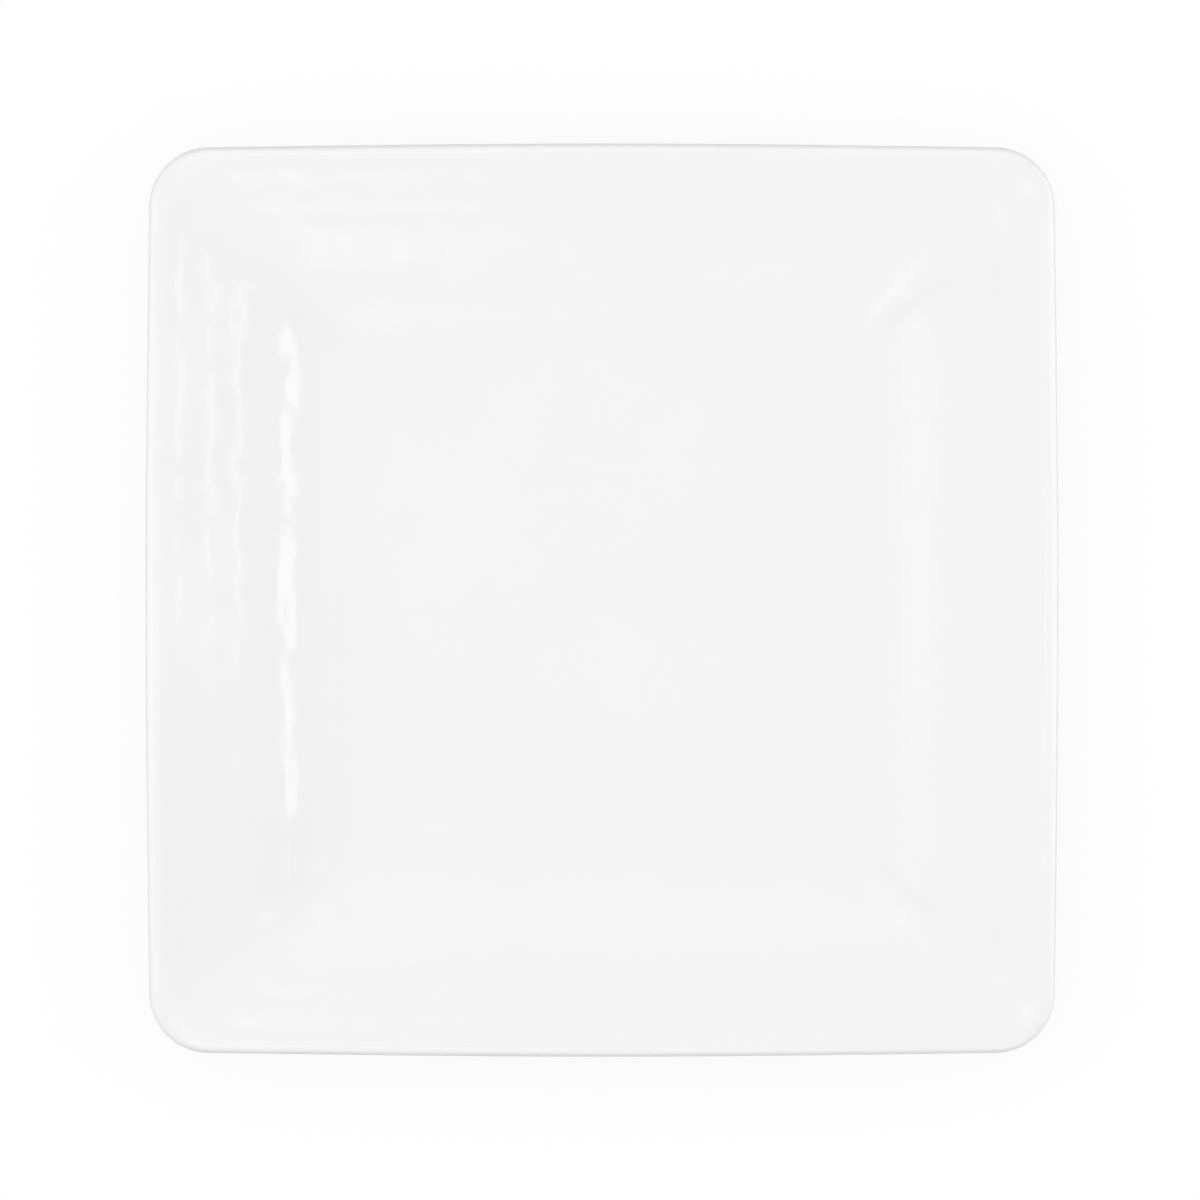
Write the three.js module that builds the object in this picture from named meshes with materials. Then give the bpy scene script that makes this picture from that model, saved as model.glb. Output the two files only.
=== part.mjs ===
import * as THREE from 'three';

// A square melamine dinner plate, in millimetres, +Z up.
// It stands on the table at z = 0, with its middle on the Z axis.
// A filled melamine body carries a thin melamine glaze, pressed onto its eating face and round its lip.
// Every level of the plate is the same soft square, so one section swept round it gives each solid.

// Section through the middle of a side.
const wellWidth = 159; // floor, out to where its plane meets the plane of the wall
const wallRun = 22; // wall from the floor up to the rim, measured across
const wallRise = 10; // the same wall, measured up
const rimRun = 29; // rim from the wall out to the lip, measured across
const rimRise = 6.2; // the same rim, measured up
const lipRun = 3; // lip from the rim out to the edge, measured across
const lipDrop = 1.1; // the same lip, measured down
const plateThickness = 4; // floor, wall and rim, with the glaze
const glazeThickness = 0.3;
const coveRadius = 60; // hollow curve from floor to wall
const shoulderRadius = 88; // rounded ridge from wall to rim
const crestRadius = 6; // rounded ridge from rim to lip
const edgeRadius = 1.8; // from the lip into the upright edge
const edgeUndersideRadius = 1;

// Foot moulded under the floor.
const footHeight = 2;
const footWidth = 4.5;
const footInset = 16; // from the floor's edge in to the foot
const footEdgeRadius = 0.8;
const footRootRadius = 1.5;

// Outline seen from above.
const cornerRadius = 17.4;
const sideBow = 1.1; // how far each side swells between its corners

// Shallow rings round the rim, like those a potter's fingers leave.
const ringPitch = 8.4;
const ringHeight = 0.14; // from crest to trough

// Fineness of the facets.
const facetError = 0.05; // how far a facet of the section may stand off its true curve
const cornerFacets = 6;
const sideFacets = 4;
const pointsPerRing = 4;

// The upper rounding may take at most this share of the edge, so that the underside keeps its own.
const largestEdgeShare = 0.55;

const floorHalf = wellWidth / 2;
const shoulderHalf = floorHalf + wallRun;
const crestHalf = shoulderHalf + rimRun;
const halfWidth = crestHalf + lipRun;
const floorTop = footHeight + plateThickness;
const shoulderTop = floorTop + wallRise;
const crestTop = shoulderTop + rimRise;

// The edge is cut upright, from the lip down to where the back of the rim comes out.
const rimSlope = Math.atan2(rimRise, rimRun);
const edgeTop = crestTop - lipDrop;
const edgeBottom = crestTop + lipRun * Math.tan(rimSlope) - plateThickness / Math.cos(rimSlope);
const edgeTurn = Math.PI / 2 - Math.atan2(lipDrop, lipRun);
const edgeReach = Math.min(
  edgeRadius * Math.tan(edgeTurn / 2),
  largestEdgeShare * (edgeTop - edgeBottom),
);
const edgeRound = edgeReach / Math.tan(edgeTurn / 2);
const partingTop = edgeTop - edgeReach; // the glaze ends here, half-way down the edge

// One corner of a section: its distance from the middle, its height and its rounding.
function corner(out, up, radius = 0) {
  return { point: new THREE.Vector2(out, up), radius };
}

function direction(from, to) {
  return to.clone().sub(from).normalize();
}

// The run of corners that lies a given depth to the right of another run, with its roundings concentric.
function parallelRun(corners, depth) {
  const edges = corners.slice(1).map((next, i) => direction(corners[i].point, next.point));
  return corners.map(({ point, radius }, i) => {
    const before = edges[Math.max(i - 1, 0)];
    const after = edges[Math.min(i, edges.length - 1)];
    const shift = depth / (1 + before.dot(after));
    const out = point.x + shift * (before.y + after.y);
    const up = point.y - shift * (before.x + after.x);
    const turn = Math.sign(before.cross(after));
    return corner(out, up, Math.max(radius + turn * depth, 0));
  });
}

// The points of each corner of a run, once it is rounded.
// A rounding that has no room for its radius is made smaller.
function roundedCorners(corners) {
  const turns = corners.map(({ point }, i) => {
    if (i === 0 || i === corners.length - 1) return 0;
    const before = direction(corners[i - 1].point, point);
    const after = direction(point, corners[i + 1].point);
    return Math.atan2(before.cross(after), before.dot(after));
  });
  const reaches = corners.map(({ radius }, i) => radius * Math.tan(Math.abs(turns[i]) / 2));

  return corners.map(({ point, radius }, i) => {
    if (reaches[i] === 0) return [point];
    const before = corners[i - 1].point;
    const after = corners[i + 1].point;
    const roomBefore = point.distanceTo(before) / (reaches[i - 1] + reaches[i]);
    const roomAfter = point.distanceTo(after) / (reaches[i] + reaches[i + 1]);
    const share = Math.min(1, roomBefore, roomAfter);

    const start = point.clone().addScaledVector(direction(point, before), share * reaches[i]);
    const quarterTurn = Math.sign(turns[i]) * Math.PI / 2;
    const inward = direction(before, point).rotateAround(new THREE.Vector2(), quarterTurn);
    const round = share * radius;
    const centre = start.clone().addScaledVector(inward, round);
    const startAngle = start.clone().sub(centre).angle();
    const facetAngle = 2 * Math.acos(Math.max(1 - facetError / round, 0));
    const arc = new THREE.EllipseCurve(
      centre.x, centre.y, round, round, startAngle, startAngle + turns[i], turns[i] < 0,
    );
    return arc.getPoints(Math.ceil(Math.abs(turns[i]) / facetAngle));
  });
}

// Points along the rim's straight run whose heights fall and rise with the rings, a hollow first.
function rimRings(inner, outer) {
  const along = direction(inner, outer);
  const square = new THREE.Vector2(-along.y, along.x);
  const run = inner.distanceTo(outer);
  const ringCount = Math.floor(run / ringPitch);
  const margin = (run - ringCount * ringPitch) / 2;
  const points = [];
  for (let i = 0; ringCount > 0 && i <= ringCount * pointsPerRing; i++) {
    const rings = i / pointsPerRing;
    const lift = -ringHeight / 2 * Math.sin(2 * Math.PI * rings);
    const point = inner.clone().addScaledVector(along, margin + rings * ringPitch);
    points.push(point.addScaledVector(square, lift));
  }
  return points;
}

function withoutRepeats(points) {
  return points.filter((point, i) => i === 0 || point.distanceTo(points[i - 1]) > 1e-6);
}

// Stations round the outline of a plate of half-width 1: four bowed sides and round corners, all tangent.
function softSquare() {
  const halfSide = halfWidth - cornerRadius;
  const sideRadius = (halfSide ** 2 + sideBow ** 2) / (2 * sideBow);
  const sideCentre = halfWidth - sideRadius;
  const cornerCentre = (sideCentre + Math.sqrt(2 * (sideRadius - cornerRadius) ** 2 - sideCentre ** 2)) / 2;
  const sideAngle = Math.atan2(cornerCentre, cornerCentre - sideCentre);
  const side = new THREE.EllipseCurve(sideCentre, 0, sideRadius, sideRadius, -sideAngle, sideAngle);
  const round = new THREE.EllipseCurve(
    cornerCentre, cornerCentre, cornerRadius, cornerRadius, sideAngle, Math.PI / 2 - sideAngle,
  );
  const quarter = [
    ...side.getPoints(sideFacets).slice(0, -1),
    ...round.getPoints(cornerFacets).slice(0, -1),
  ];
  const stations = [];
  for (let i = 0; i < 4; i++) {
    for (const point of quarter) {
      const turned = point.clone().rotateAround(new THREE.Vector2(), i * Math.PI / 2);
      stations.push(turned.divideScalar(halfWidth));
    }
  }
  return stations;
}

// A solid whose section is swept round the soft square.
// The section runs from the axis out along its underside and back along its top.
function squareLathe(section, stations) {
  const geometry = new THREE.LatheGeometry(section, stations.length);
  const position = geometry.getAttribute('position');
  for (let i = 0; i < position.count; i++) {
    const station = stations[Math.floor(i / section.length) % stations.length];
    const { x: half, y: height } = section[i % section.length];
    position.setXYZ(i, half * station.x, half * station.y, height);
  }
  geometry.computeVertexNormals();
  return geometry;
}

// Eating face: floor, wall, rim and lip, down to the parting line.
const faceRun = [
  corner(0, floorTop),
  corner(floorHalf, floorTop, coveRadius),
  corner(shoulderHalf, shoulderTop, shoulderRadius),
  corner(crestHalf, crestTop, crestRadius),
  corner(halfWidth, edgeTop, edgeRound),
  corner(halfWidth, partingTop),
];
const [middle, cove, shoulder, ...lip] = roundedCorners(faceRun);
const rings = rimRings(shoulder.at(-1), lip[0][0]);
const face = withoutRepeats([...middle, ...cove, ...shoulder, ...rings, ...lip.flat()]);

// Bond between glaze and body, a glaze thickness under the face.
const bond = withoutRepeats(roundedCorners(parallelRun(faceRun, glazeThickness)).flat());

// Underside: recess, foot, and the back of the wall and rim up to the parting line.
const footOuter = floorHalf - footInset;
const footInner = footOuter - footWidth;
const [, backCove, backShoulder] = parallelRun(faceRun, plateThickness);
const underside = withoutRepeats(roundedCorners([
  corner(0, footHeight),
  corner(footInner, footHeight, footRootRadius),
  corner(footInner, 0, footEdgeRadius),
  corner(footOuter, 0, footEdgeRadius),
  corner(footOuter, footHeight, footRootRadius),
  backCove,
  backShoulder,
  corner(halfWidth, edgeBottom, edgeUndersideRadius),
  corner(halfWidth, partingTop),
]).flat());

const stations = softSquare();
const bodyGeometry = squareLathe([...underside, ...bond.toReversed()], stations);
const glazeGeometry = squareLathe([...bond, ...face.toReversed()], stations);

const bodyMelamine = new THREE.MeshStandardMaterial({ color: '#f1f1ef', roughness: 0.4, metalness: 0 });
const glazeMelamine = new THREE.MeshStandardMaterial({ color: '#f6f6f5', roughness: 0.12, metalness: 0 });

const mouldedBody = new THREE.Mesh(bodyGeometry, bodyMelamine);
mouldedBody.name = 'moulded_body';

const glazeLayer = new THREE.Mesh(glazeGeometry, glazeMelamine);
glazeLayer.name = 'glaze_layer';

const plate = new THREE.Group();
plate.add(mouldedBody, glazeLayer);

export default plate;
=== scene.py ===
import math

import bpy
from mathutils import Matrix, Vector


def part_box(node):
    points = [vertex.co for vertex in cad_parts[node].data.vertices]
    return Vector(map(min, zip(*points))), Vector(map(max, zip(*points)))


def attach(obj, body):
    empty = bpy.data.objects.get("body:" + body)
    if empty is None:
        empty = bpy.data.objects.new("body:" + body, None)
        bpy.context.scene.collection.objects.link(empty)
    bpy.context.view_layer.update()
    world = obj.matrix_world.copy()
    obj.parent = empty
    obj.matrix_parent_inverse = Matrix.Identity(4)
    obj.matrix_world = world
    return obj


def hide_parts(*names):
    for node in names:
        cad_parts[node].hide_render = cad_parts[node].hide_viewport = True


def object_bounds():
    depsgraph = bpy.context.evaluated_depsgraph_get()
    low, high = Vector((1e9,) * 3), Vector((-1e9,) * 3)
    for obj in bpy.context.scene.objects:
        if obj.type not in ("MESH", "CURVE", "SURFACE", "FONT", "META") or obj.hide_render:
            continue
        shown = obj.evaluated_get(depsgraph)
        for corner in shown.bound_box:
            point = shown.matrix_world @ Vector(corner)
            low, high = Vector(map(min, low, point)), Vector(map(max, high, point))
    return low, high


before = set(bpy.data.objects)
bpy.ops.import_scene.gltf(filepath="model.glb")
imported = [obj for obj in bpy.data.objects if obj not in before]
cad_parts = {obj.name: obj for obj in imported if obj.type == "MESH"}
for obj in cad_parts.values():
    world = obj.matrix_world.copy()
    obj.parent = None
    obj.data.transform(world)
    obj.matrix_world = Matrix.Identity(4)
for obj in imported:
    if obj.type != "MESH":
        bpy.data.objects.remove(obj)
cad_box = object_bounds()
bpy.ops.object.select_all(action="DESELECT")

MM = 0.001

# Section through the middle of a side, as in the solids.
FLOOR_HALF = 79.5 * MM
WALL_RUN = 22 * MM
WALL_RISE = 10 * MM
RIM_RUN = 29 * MM
RIM_RISE = 6.2 * MM
LIP_DROP = 1.1 * MM
PLATE_THICKNESS = 4 * MM
GLAZE_THICKNESS = 0.3 * MM
COVE_RADIUS = 60 * MM
SHOULDER_RADIUS = 88 * MM
CREST_RADIUS = 6 * MM
EDGE_RADIUS = 1.8 * MM
EDGE_UNDERSIDE_RADIUS = 1 * MM
FOOT_HEIGHT = 2 * MM
FOOT_WIDTH = 4.5 * MM
FOOT_INSET = 16 * MM
FOOT_EDGE_RADIUS = 0.8 * MM
FOOT_ROOT_RADIUS = 1.5 * MM

# Outline seen from above.
HALF_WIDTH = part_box("glaze_layer")[1][0]
CORNER_RADIUS = 17.4 * MM
SIDE_BOW = 1.1 * MM

# Rings on the rim, like those a potter's fingers leave.
RING_PITCH = 8.4 * MM
RING_HEIGHT = 0.14 * MM

# Streaks along the rim that break the rings.
STREAK_WIDTH = 4.5 * MM
STREAK_STRETCH = 2
STREAK_HEIGHT = 0.32 * MM
STREAK_RIGHT_SHARE = 0.35  # of their height at the left
STREAK_MITRE_FADE = 18 * MM

# Waver of the whole eating face, strongest on the wall.
WAVER_LENGTH = 6 * MM
WAVER_HEIGHT = 0.24 * MM
WAVER_FLOOR_SHARE = 0.2
WAVER_RIM_SHARE = 0.6
WAVER_WALL_FADE = 15 * MM
WAVER_RIM_FADE = 12 * MM

# Fineness of the meshes.
CORNER_SEGMENTS = 10
SIDE_SEGMENTS = 108
ARC_STEP = math.radians(6)
GLAZE_STEP = 1.25 * MM
BODY_STEP = 2.5 * MM
TOUCHING = 0.001 * MM
SMOOTH_ANGLE = math.radians(40)

FLOOR_TOP = FOOT_HEIGHT + PLATE_THICKNESS
SHOULDER_HALF = FLOOR_HALF + WALL_RUN
SHOULDER_TOP = FLOOR_TOP + WALL_RISE
CREST_HALF = SHOULDER_HALF + RIM_RUN
CREST_TOP = SHOULDER_TOP + RIM_RISE
LIP_RUN = HALF_WIDTH - CREST_HALF
RIM_SLOPE = math.atan2(RIM_RISE, RIM_RUN)
EDGE_TOP = CREST_TOP - LIP_DROP
EDGE_BOTTOM = CREST_TOP + LIP_RUN * math.tan(RIM_SLOPE) - PLATE_THICKNESS / math.cos(RIM_SLOPE)
EDGE_TURN = math.pi / 2 - math.atan2(LIP_DROP, LIP_RUN)
PARTING_TOP = EDGE_TOP - EDGE_RADIUS * math.tan(EDGE_TURN / 2)


# Section drawing

def corner(out, up, radius=0.0):
    return Vector((out, up)), radius


def direction(start, end):
    return (end - start).normalized()


def parallel_run(corners, depth):
    """The run that lies a depth to the right of another, with its roundings concentric."""
    points = [point for point, _ in corners]
    edges = [direction(a, b) for a, b in zip(points, points[1:])]
    moved = []
    for i, (point, radius) in enumerate(corners):
        before = edges[max(i - 1, 0)]
        after = edges[min(i, len(edges) - 1)]
        shift = depth / (1 + before.dot(after))
        out = point.x + shift * (before.y + after.y)
        up = point.y - shift * (before.x + after.x)
        grown = radius + math.copysign(depth, before.cross(after)) if radius else 0.0
        moved.append(corner(out, up, grown))
    return moved


def rounded_corner(before, point, after, radius, step):
    """The arc that rounds one corner of a run, as points no further apart than a step."""
    if not radius:
        return [point]
    start_way = direction(before, point)
    end_way = direction(point, after)
    turn = math.atan2(start_way.cross(end_way), start_way.dot(end_way))
    start = point - start_way * radius * math.tan(abs(turn) / 2)
    to_centre = Vector((-start_way.y, start_way.x)) * math.copysign(radius, turn)
    centre = start + to_centre
    steps = max(math.ceil(abs(turn) / ARC_STEP), math.ceil(abs(turn) * radius / step))
    return [centre - Matrix.Rotation(turn * i / steps, 2) @ to_centre for i in range(steps + 1)]


def rounded_corners(corners, step):
    """The points of each corner of a run, once it is rounded."""
    points = [point for point, _ in corners]
    arcs = [[points[0]]]
    for i in range(1, len(corners) - 1):
        arcs.append(rounded_corner(points[i - 1], points[i], points[i + 1], corners[i][1], step))
    arcs.append([points[-1]])
    return arcs


def line_between(start, end, rings=False):
    """Points inside a straight stretch. On the rim they fall and rise with the rings, a hollow first."""
    length = (end - start).length
    along = direction(start, end)
    square = Vector((-along.y, along.x))
    ring_count = math.floor(length / RING_PITCH)
    margin = (length - ring_count * RING_PITCH) / 2
    steps = math.ceil(length / GLAZE_STEP)
    points = []
    for i in range(1, steps):
        travel = length * i / steps
        point = start + along * travel
        if rings and margin <= travel <= length - margin:
            point -= square * RING_HEIGHT / 2 * math.sin(math.tau * (travel - margin) / RING_PITCH)
        points.append(point)
    return points


def without_repeats(points):
    kept = points[:1]
    for point in points[1:]:
        if (point - kept[-1]).length > TOUCHING:
            kept.append(point)
    return kept


FACE_RUN = [
    corner(0, FLOOR_TOP),
    corner(FLOOR_HALF, FLOOR_TOP, COVE_RADIUS),
    corner(SHOULDER_HALF, SHOULDER_TOP, SHOULDER_RADIUS),
    corner(CREST_HALF, CREST_TOP, CREST_RADIUS),
    corner(HALF_WIDTH, EDGE_TOP, EDGE_RADIUS),
    corner(HALF_WIDTH, PARTING_TOP),
]


def face_section():
    """Eating face from the edge of the flat floor out over the lip, down to the parting line."""
    _, cove, shoulder, crest, edge, parting = rounded_corners(FACE_RUN, GLAZE_STEP)
    wall = line_between(cove[-1], shoulder[0])
    rim = line_between(shoulder[-1], crest[0], rings=True)
    return without_repeats(cove + wall + shoulder + rim + crest + edge + parting)


def body_section():
    """Underside from the recess out to the parting line, and back in along the bond with the glaze."""
    foot_outer = FLOOR_HALF - FOOT_INSET
    foot_inner = foot_outer - FOOT_WIDTH
    _, back_cove, back_shoulder, *_ = parallel_run(FACE_RUN, PLATE_THICKNESS)
    underside_run = [
        corner(0, FOOT_HEIGHT),
        corner(foot_inner, FOOT_HEIGHT, FOOT_ROOT_RADIUS),
        corner(foot_inner, 0, FOOT_EDGE_RADIUS),
        corner(foot_outer, 0, FOOT_EDGE_RADIUS),
        corner(foot_outer, FOOT_HEIGHT, FOOT_ROOT_RADIUS),
        back_cove,
        back_shoulder,
        corner(HALF_WIDTH, EDGE_BOTTOM, EDGE_UNDERSIDE_RADIUS),
        corner(HALF_WIDTH, PARTING_TOP),
    ]
    underside = rounded_corners(underside_run, BODY_STEP)
    bond = rounded_corners(parallel_run(FACE_RUN, GLAZE_THICKNESS), BODY_STEP)
    outward = [point for arc in underside[1:] for point in arc]
    inward = [point for arc in bond[1:] for point in arc][::-1]
    return without_repeats(outward + inward)


# Pressing a section into a square shell

def soft_square(name, half, height):
    """An outline of bowed sides and round corners, as a closed ring of edges."""
    scale = half / HALF_WIDTH
    bpy.ops.mesh.primitive_plane_add(size=2 * half, location=(0, 0, height))
    shell = bpy.context.object
    shell.name = name
    bpy.ops.object.transform_apply(location=True, rotation=False, scale=False)

    bpy.ops.object.mode_set(mode="EDIT")
    bpy.ops.mesh.select_mode(type="VERT")
    bpy.ops.mesh.select_all(action="SELECT")
    bpy.ops.mesh.bevel(
        offset=CORNER_RADIUS * scale, offset_type="OFFSET", segments=CORNER_SEGMENTS, affect="VERTICES",
    )
    bpy.ops.mesh.delete(type="ONLY_FACE")
    bpy.ops.mesh.select_all(action="DESELECT")
    bpy.ops.object.mode_set(mode="OBJECT")

    straight = half - CORNER_RADIUS * scale
    for edge in shell.data.edges:
        start, end = (shell.data.vertices[i].co for i in edge.vertices)
        edge.select = (start - end).length > straight
    bpy.ops.object.mode_set(mode="EDIT")
    bpy.ops.mesh.select_mode(type="EDGE")
    bpy.ops.mesh.subdivide(number_cuts=SIDE_SEGMENTS - 1)
    bpy.ops.object.mode_set(mode="OBJECT")

    # Drawing the outline a little towards a circle keeps the middle of each side and pulls its ends in.
    side_end = (HALF_WIDTH - CORNER_RADIUS) / HALF_WIDTH
    pull = 1 - 1 / math.hypot(1, side_end)
    bow = shell.modifiers.new("bowed sides", "CAST")
    bow.cast_type = "CYLINDER"
    bow.use_z = False
    bow.use_radius_as_size = False
    bow.size = half
    bow.factor = SIDE_BOW / HALF_WIDTH / pull
    bpy.ops.object.modifier_apply(modifier=bow.name)
    return shell


def press_shell(name, section):
    """A shell drawn outwards ring by ring from its first point, which bounds a flat floor."""
    half, height = section[0]
    shell = soft_square(name, half, height)
    bpy.ops.object.mode_set(mode="EDIT")
    bpy.ops.mesh.select_all(action="SELECT")
    fill_floor()
    bpy.ops.mesh.region_to_loop()
    for next_half, next_height in section[1:]:
        grow = next_half / half
        bpy.ops.mesh.extrude_region_move()
        bpy.ops.transform.resize(value=(grow, grow, 1), center_override=(0, 0, height))
        bpy.ops.transform.translate(value=(0, 0, next_height - height))
        half, height = next_half, next_height
    return shell


def fill_floor():
    bpy.ops.mesh.fill_grid(span=CORNER_SEGMENTS + SIDE_SEGMENTS)


def point_faces_out():
    bpy.ops.mesh.select_all(action="SELECT")
    bpy.ops.mesh.remove_doubles(threshold=TOUCHING)
    bpy.ops.mesh.normals_make_consistent(inside=False)
    bpy.ops.object.mode_set(mode="OBJECT")


# Nodes for finishes and lights

def node(owner, kind, **inputs):
    """A new node of a material, lamp or world, with values on its sockets."""
    made = owner.node_tree.nodes.new(kind)
    for name, value in inputs.items():
        made.inputs[name].default_value = value
    return made


def join(owner, output, socket):
    owner.node_tree.links.new(output, socket)


def combine(owner, operation, first, second):
    """What one sum makes of two shares."""
    result = node(owner, "ShaderNodeMath")
    result.operation = operation
    join(owner, first, result.inputs[0])
    join(owner, second, result.inputs[1])
    return result.outputs["Value"]


def blend(owner, share, low, high):
    """One value where a share is 0, another where it is 1."""
    mix = node(owner, "ShaderNodeMix")
    for name, value in (("Factor", share), ("A", low), ("B", high)):
        if isinstance(value, float):
            mix.inputs[name].default_value = value
        else:
            join(owner, value, mix.inputs[name])
    return mix.outputs["Result"]


def place_on_piece(material):
    return node(material, "ShaderNodeTexCoord").outputs["Object"]


def mottle(material, size, detail, low, high):
    """Soft irregular patches of about a given size, between two values."""
    patches = node(material, "ShaderNodeTexNoise", Scale=1 / size, Detail=detail, Roughness=0.55)
    spread = node(material, "ShaderNodeMapRange", **{
        "From Min": 0.3, "From Max": 0.7, "To Min": low, "To Max": high,
    })
    join(material, place_on_piece(material), patches.inputs["Vector"])
    join(material, patches.outputs["Fac"], spread.inputs["Value"])
    return spread.outputs["Result"]


def height_band(material, full, end):
    """A share of 1 up to a height, or down to it, which fades to 0 at another."""
    split = node(material, "ShaderNodeSeparateXYZ")
    band = node(material, "ShaderNodeMapRange", **{"From Min": end, "From Max": full})
    join(material, place_on_piece(material), split.inputs["Vector"])
    join(material, split.outputs["Z"], band.inputs["Value"])
    return band.outputs["Result"]


def grain(material, size, depth):
    """A fine unevenness of the surface, of a given size and depth."""
    bump = node(material, "ShaderNodeBump", Strength=1.0, Distance=depth)
    join(material, mottle(material, size, 3.0, 0.0, 1.0), bump.inputs["Height"])
    return bump.outputs["Normal"]


# Finishes

MELAMINE_IOR = 1.6

GLAZE_TONES = (0.898, 0.908)
GLAZE_CLOUD = 45 * MM
GLAZE_ROUGHNESS = (0.06, 0.09)
GLAZE_PATCH = 9 * MM
PEEL_SIZE = 1.6 * MM
PEEL_DEPTH = 0.001 * MM

# The floor is duller than wall and rim, with the change between them on the cove.
FLOOR_ROUGHNESS = 0.24
DULL_TO = FLOOR_TOP + 1 * MM
BRIGHT_FROM = FLOOR_TOP + 5 * MM

BODY_TONES = (0.868, 0.885)
BODY_CLOUD = 30 * MM
BODY_ROUGHNESS = (0.36, 0.46)
BODY_PATCH = 6 * MM
BODY_GRAIN = 0.7 * MM
BODY_GRAIN_DEPTH = 0.012 * MM

# The edge is sanded just under the parting line.
SANDED_ROUGHNESS = 0.62
SANDED_DOWN_TO = PARTING_TOP - 0.3 * MM
SATIN_FROM = PARTING_TOP - 0.9 * MM

# The foot is scuffed where it stands.
SCUFF_TONE = 0.74
SCUFF_ROUGHNESS = 0.7
SCUFF_SIZE = 3 * MM
SCUFFED_TO = 0.1 * MM
UNSCUFFED_FROM = 0.5 * MM


def moulded_white(name, tone, roughness, surface):
    """A dense white plastic with a grey tone, a roughness and a surface normal that all come from nodes."""
    material = bpy.data.materials.new(name)
    material.use_nodes = True
    shader = material.node_tree.nodes["Principled BSDF"]
    shader.inputs["IOR"].default_value = MELAMINE_IOR
    join(material, tone(material), shader.inputs["Base Color"])
    join(material, roughness(material), shader.inputs["Roughness"])
    join(material, surface(material), shader.inputs["Normal"])
    return material


def glaze_melamine():
    """Clear hard gloss over white, faintly cloudy, with the slight orange peel of a press."""
    return moulded_white("white melamine glaze", glaze_tone, glaze_roughness, glaze_surface)


def glaze_tone(material):
    return mottle(material, GLAZE_CLOUD, 2.0, *GLAZE_TONES)


def glaze_roughness(material):
    floor = height_band(material, DULL_TO, BRIGHT_FROM)
    return blend(material, floor, mottle(material, GLAZE_PATCH, 2.0, *GLAZE_ROUGHNESS), FLOOR_ROUGHNESS)


def glaze_surface(material):
    return grain(material, PEEL_SIZE, PEEL_DEPTH)


def body_melamine():
    """Satin underside, with a matt band where the edge is sanded and scuffs under the foot."""
    return moulded_white("white melamine body", body_tone, body_roughness, body_surface)


def scuffs(material):
    under_foot = height_band(material, SCUFFED_TO, UNSCUFFED_FROM)
    return combine(material, "MULTIPLY", under_foot, mottle(material, SCUFF_SIZE, 4.0, 0.0, 1.0))


def body_tone(material):
    return blend(material, scuffs(material), mottle(material, BODY_CLOUD, 3.0, *BODY_TONES), SCUFF_TONE)


def body_roughness(material):
    satin = mottle(material, BODY_PATCH, 3.0, *BODY_ROUGHNESS)
    worn = blend(material, scuffs(material), satin, SCUFF_ROUGHNESS)
    return blend(material, height_band(material, SANDED_DOWN_TO, SATIN_FROM), worn, SANDED_ROUGHNESS)


def body_surface(material):
    return grain(material, BODY_GRAIN, BODY_GRAIN_DEPTH)


# Glaze

def make_glaze():
    glaze = press_shell("pressed_glaze", face_section())
    point_faces_out()
    bond = glaze.vertex_groups.new(name="bond")
    wall = glaze.modifiers.new("glaze thickness", "SOLIDIFY")
    wall.thickness = GLAZE_THICKNESS
    wall.offset = -1
    wall.use_even_offset = True
    wall.shell_vertex_group = bond.name
    bpy.ops.object.modifier_apply(modifier=wall.name)

    streak_rim(glaze, "left and right streaks", across=0)
    streak_rim(glaze, "front and back streaks", across=1)
    waver = glaze.modifiers.new("waver", "DISPLACE")
    waver.texture = clouds("waver", WAVER_LENGTH)
    waver.texture_coords = "LOCAL"
    waver.strength = WAVER_HEIGHT
    waver.vertex_group = weigh_face(glaze, "waver", waver_share).name
    bpy.ops.object.modifier_apply(modifier=waver.name)

    bpy.ops.object.shade_smooth_by_angle(angle=SMOOTH_ANGLE)
    glaze.data.materials.append(glaze_melamine())
    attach(glaze, "root")
    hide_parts("glaze_layer")


def streak_rim(glaze, name, across):
    """Uneven streaks along the two sides that lie across X, axis 0, or across Y, axis 1.

    They are deepest at the left and gone at the mitres.
    """
    along = 1 - across

    def share(place):
        left = fade(-place.x, 0, SHOULDER_HALF)
        depth = STREAK_RIGHT_SHARE + (1 - STREAK_RIGHT_SHARE) * left
        from_mitre = abs(place[across]) - abs(place[along])
        return depth * rim_share(from_middle(place)) * fade(from_mitre, 0, STREAK_MITRE_FADE)

    bpy.ops.object.empty_add()
    guide = bpy.context.object
    guide.scale[along] = STREAK_STRETCH
    bpy.context.view_layer.update()
    glaze.select_set(True)
    bpy.context.view_layer.objects.active = glaze
    streaks = glaze.modifiers.new(name, "DISPLACE")
    streaks.texture = clouds(name, STREAK_WIDTH)
    streaks.texture_coords = "OBJECT"
    streaks.texture_coords_object = guide
    streaks.strength = STREAK_HEIGHT
    streaks.vertex_group = weigh_face(glaze, name, share).name
    bpy.ops.object.modifier_apply(modifier=streaks.name)
    bpy.data.objects.remove(guide)


def clouds(name, size):
    texture = bpy.data.textures.new(name, "CLOUDS")
    texture.noise_scale = size
    texture.noise_depth = 1
    return texture


def weigh_face(glaze, name, share):
    """A group of the eating face's points, each with the share that its place gives."""
    bond = glaze.vertex_groups["bond"].index
    group = glaze.vertex_groups.new(name=name)
    for vertex in glaze.data.vertices:
        if all(member.group != bond for member in vertex.groups):
            group.add([vertex.index], share(vertex.co), "REPLACE")
    return group


def from_middle(place):
    return max(abs(place.x), abs(place.y))


def fade(value, start, end):
    """0 at the start, 1 at the end, and straight between them."""
    return min(max((value - start) / (end - start), 0), 1)


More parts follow.
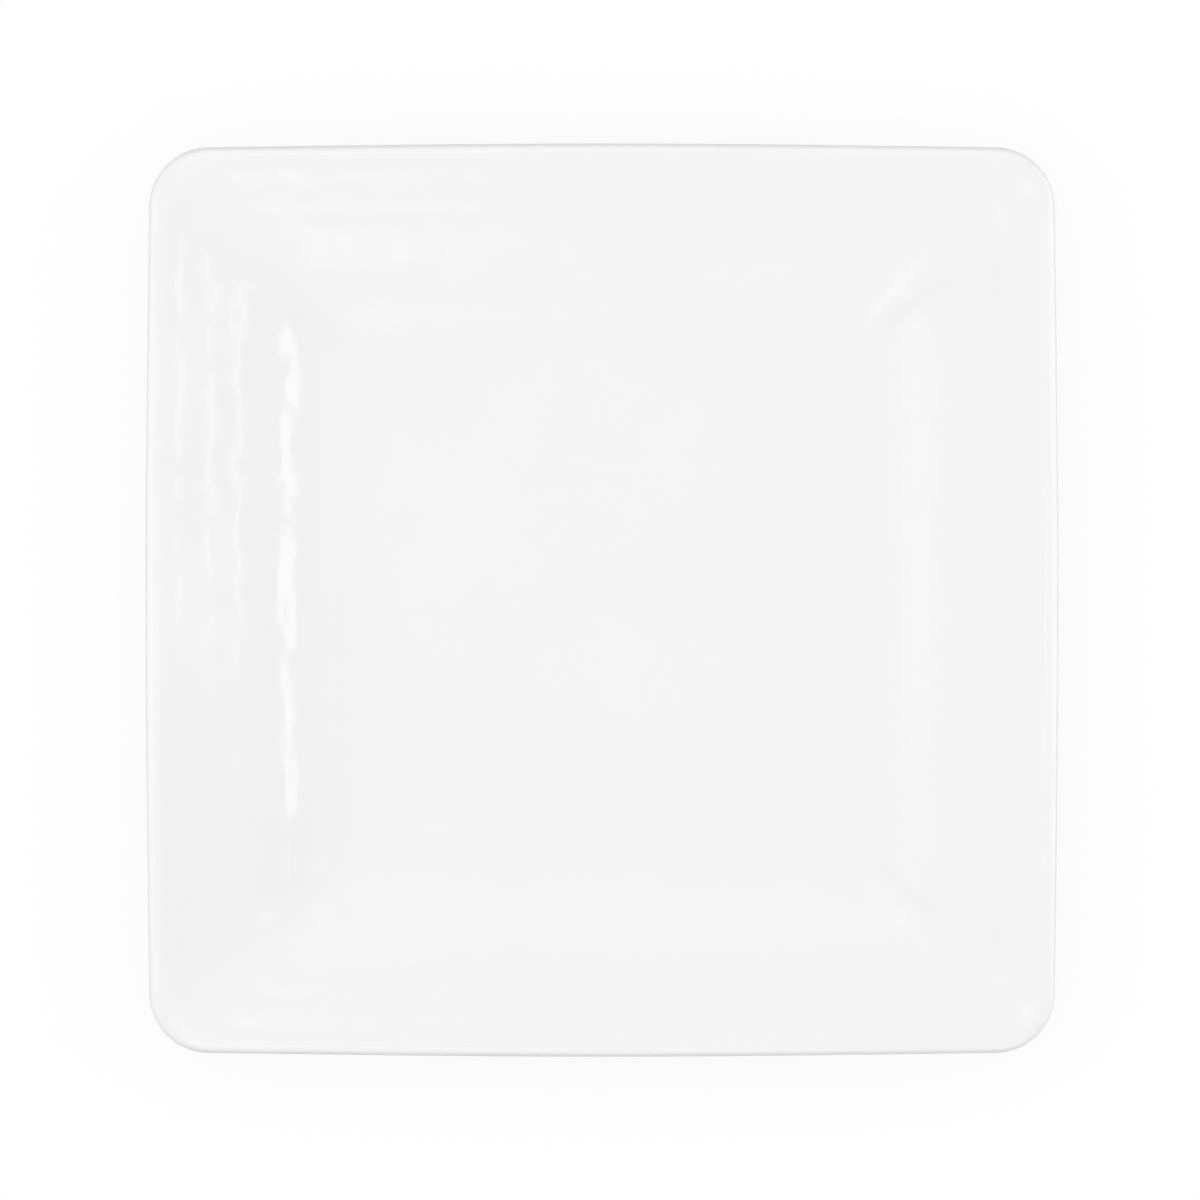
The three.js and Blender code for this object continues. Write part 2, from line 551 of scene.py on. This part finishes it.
def lip_free(out):
    """The lip is true, and what wavers inside it fades towards it."""
    return fade(out, CREST_HALF - LIP_RUN, CREST_HALF - 2 * LIP_RUN)


def rim_share(out):
    return fade(out, SHOULDER_HALF, SHOULDER_HALF + RING_PITCH) * lip_free(out)


def waver_share(place):
    """The floor is nearly true, the wall wavers most, and the lip not at all."""
    out = from_middle(place)
    wall = fade(out, FLOOR_HALF - WAVER_WALL_FADE, FLOOR_HALF)
    rim = fade(out, SHOULDER_HALF, SHOULDER_HALF + WAVER_RIM_FADE)
    share = WAVER_FLOOR_SHARE + (1 - WAVER_FLOOR_SHARE) * wall - (1 - WAVER_RIM_SHARE) * rim
    return share * lip_free(out)


# Body

def make_body():
    body = press_shell("pressed_body", body_section())
    fill_floor()
    point_faces_out()
    bpy.ops.object.shade_smooth_by_angle(angle=SMOOTH_ANGLE)
    body.data.materials.append(body_melamine())
    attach(body, "root")
    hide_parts("moulded_body")


# Studio

SWEEP_WIDTH = 6
PAPER = 0.25  # tone of the sweep in the light that it gives back to the plate
WHITE_SHARE = 0.9  # of the sweep's look, the rest of which shows the shadow

SURROUND = 0.846
HIGH_RIGHT_SHARE = 0.63
FRONT_AND_BACK_SHARE = 0.3


def make_floor():
    """A pale sweep that shows as white, straight and in reflections, with the plate's shadow on it."""
    bpy.ops.mesh.primitive_plane_add(size=SWEEP_WIDTH, location=(0, 0, 0))
    floor = bpy.context.object
    floor.name = "floor"
    material = bpy.data.materials.new("white sweep")
    material.use_nodes = True
    material.node_tree.nodes.clear()
    rays = node(material, "ShaderNodeLightPath")
    seen = combine(material, "MAXIMUM", rays.outputs["Is Camera Ray"], rays.outputs["Is Glossy Ray"])
    seen = combine(material, "MAXIMUM", seen, rays.outputs["Is Transmission Ray"])

    paper = node(material, "ShaderNodeBsdfDiffuse")
    white = node(material, "ShaderNodeEmission", Strength=1.0)
    sweep = node(material, "ShaderNodeMixShader")
    output = node(material, "ShaderNodeOutputMaterial")
    join(material, blend(material, seen, PAPER, 1.0), paper.inputs["Color"])
    join(material, blend(material, seen, 0.0, WHITE_SHARE), sweep.inputs["Fac"])
    join(material, paper.outputs["BSDF"], sweep.inputs[1])
    join(material, white.outputs["Emission"], sweep.inputs[2])
    join(material, sweep.outputs["Shader"], output.inputs["Surface"])
    floor.data.materials.append(material)


def round_plate(azimuth, elevation, reach):
    """A place at a distance from the plate, turned from +X towards +Y and raised from the floor."""
    turned = math.radians(azimuth)
    raised = math.radians(elevation)
    level = reach * math.cos(raised)
    return level * math.cos(turned), level * math.sin(turned), reach * math.sin(raised)


def light_studio():
    surround_light()

    # Broad panels for the lip at left and right, and for the wall that faces each of them.
    softbox("left", round_plate(178, 52, 0.9), 0.9, 0.5, 0.9)
    softbox("left low", round_plate(173, 27, 0.9), 1.3, 0.8, 0.5, fading=0.5)
    softbox("left near", (-0.36, 0, 0.3), 0.6, 0.36, 0.34)
    softbox("right low", round_plate(6, 27, 0.9), 1.3, 0.8, 1.2, fading=0.5)
    softbox("front", round_plate(270, 52, 0.9), 0.9, 0.6, 0.72)
    softbox("back", round_plate(90, 52, 0.9), 0.9, 0.6, 0.72)

    # Narrow strips that the left wall and the rings of the left rim mirror.
    softbox("right strip", round_plate(4, 48.4, 0.8), 0.36, 0.1, 1.3, fading=0.12)
    softbox("right high strip", round_plate(14, 68.8, 1.4), 0.4, 0.14, 0.85, fading=0.25)

    # Panels overhead that brighten the left of the floor and the left ends of the rim at front and back.
    softbox("overhead left", (-0.12, 0, 2.0), 0.25, 0.25, 1.3, fading=0.8)
    softbox("overhead left front", (-0.4, -0.85, 1.75), 0.9, 1.0, 1.0, fading=0.8)
    softbox("overhead left back", (-0.4, 0.85, 1.75), 0.9, 1.0, 0.6, fading=0.8)


def softbox(name, place, width, height, radiance, fading=1.0):
    """A soft panel aimed at the plate, even in its middle, that fades over a share of its reach."""
    lamp = bpy.data.lights.new(name, "AREA")
    lamp.shape = "RECTANGLE"
    lamp.size = width
    lamp.size_y = height
    lamp.energy = radiance * math.pi * width * height
    lamp.use_nodes = True
    across = node(lamp, "ShaderNodeNewGeometry")
    centred = node(lamp, "ShaderNodeMapping", Location=(-1, -1, 0), Scale=(2, 2, 1))
    inwards = node(lamp, "ShaderNodeTexGradient")
    inwards.gradient_type = "SPHERICAL"
    fade_in = node(lamp, "ShaderNodeMapRange", **{"From Max": fading})
    emission = lamp.node_tree.nodes["Emission"]
    join(lamp, across.outputs["Parametric"], centred.inputs["Vector"])
    join(lamp, centred.outputs["Vector"], inwards.inputs["Vector"])
    join(lamp, inwards.outputs["Fac"], fade_in.inputs["Value"])
    join(lamp, fade_in.outputs["Result"], emission.inputs["Strength"])
    panel = bpy.data.objects.new(name, lamp)
    bpy.context.scene.collection.objects.link(panel)
    panel.visible_camera = False
    panel.location = place
    panel.rotation_euler = (-Vector(place)).to_track_quat("-Z", "Y").to_euler()


def surround_light():
    """Light from all round, dimmer high on the right and low in front and behind.

    The camera sees it as plain white.
    """
    world = bpy.data.worlds.new("studio")
    bpy.context.scene.world = world
    world.use_nodes = True
    around = world.node_tree.nodes["Background"]
    around.inputs["Color"].default_value = (SURROUND, SURROUND, SURROUND, 1)
    high_right = dim_towards(world, round_plate(0, 55, 1), 18, 32, HIGH_RIGHT_SHARE)
    behind = dim_towards(world, round_plate(90, 0, 1), 20, 45, FRONT_AND_BACK_SHARE)
    in_front = dim_towards(world, round_plate(270, 0, 1), 20, 45, FRONT_AND_BACK_SHARE)
    low_dimming = combine(world, "MULTIPLY", behind, in_front)
    join(world, combine(world, "MULTIPLY", high_right, low_dimming), around.inputs["Strength"])

    backdrop = node(world, "ShaderNodeBackground", Color=(1, 1, 1, 1))
    rays = node(world, "ShaderNodeLightPath")
    seen = node(world, "ShaderNodeMixShader")
    join(world, rays.outputs["Is Camera Ray"], seen.inputs["Fac"])
    join(world, around.outputs["Background"], seen.inputs[1])
    join(world, backdrop.outputs["Background"], seen.inputs[2])
    join(world, seen.outputs["Shader"], world.node_tree.nodes["World Output"].inputs["Surface"])


def dim_towards(world, way, inner, outer, share):
    """1 all round, falling to a share between two angles from one way, in degrees."""
    place = node(world, "ShaderNodeTexCoord")
    nearness = node(world, "ShaderNodeVectorMath")
    nearness.operation = "DOT_PRODUCT"
    nearness.inputs[1].default_value = way
    falling = node(world, "ShaderNodeMapRange", **{
        "From Min": math.cos(math.radians(outer)),
        "From Max": math.cos(math.radians(inner)),
        "To Min": 1,
        "To Max": share,
    })
    falling.interpolation_type = "SMOOTHSTEP"
    join(world, place.outputs["Generated"], nearness.inputs[0])
    join(world, nearness.outputs["Value"], falling.inputs["Value"])
    return falling.outputs["Result"]


# Photograph's view

IMAGE_PIXELS = 1200
PLATE_PIXELS = 914.5
PLATE_MIDDLE = (602, 600.1)
CAMERA_HEIGHT = 1.6


def set_camera():
    """A camera that looks straight down, with the plate as large and where it is in the photograph."""
    pixel = 2 * HALF_WIDTH / PLATE_PIXELS
    distance = CAMERA_HEIGHT - cad_box[1][2]
    camera = bpy.data.cameras.new("camera")
    camera.lens = camera.sensor_width * distance / (IMAGE_PIXELS * pixel)
    eye = bpy.data.objects.new("camera", camera)
    bpy.context.scene.collection.objects.link(eye)
    out = (PLATE_MIDDLE[0] - IMAGE_PIXELS / 2) * pixel
    up = (IMAGE_PIXELS / 2 - PLATE_MIDDLE[1]) * pixel
    eye.location = (-out, -up, CAMERA_HEIGHT)
    bpy.context.scene.camera = eye


set_camera()
make_glaze()
make_body()
make_floor()
light_studio()
bpy.context.scene.view_settings.view_transform = "Standard"
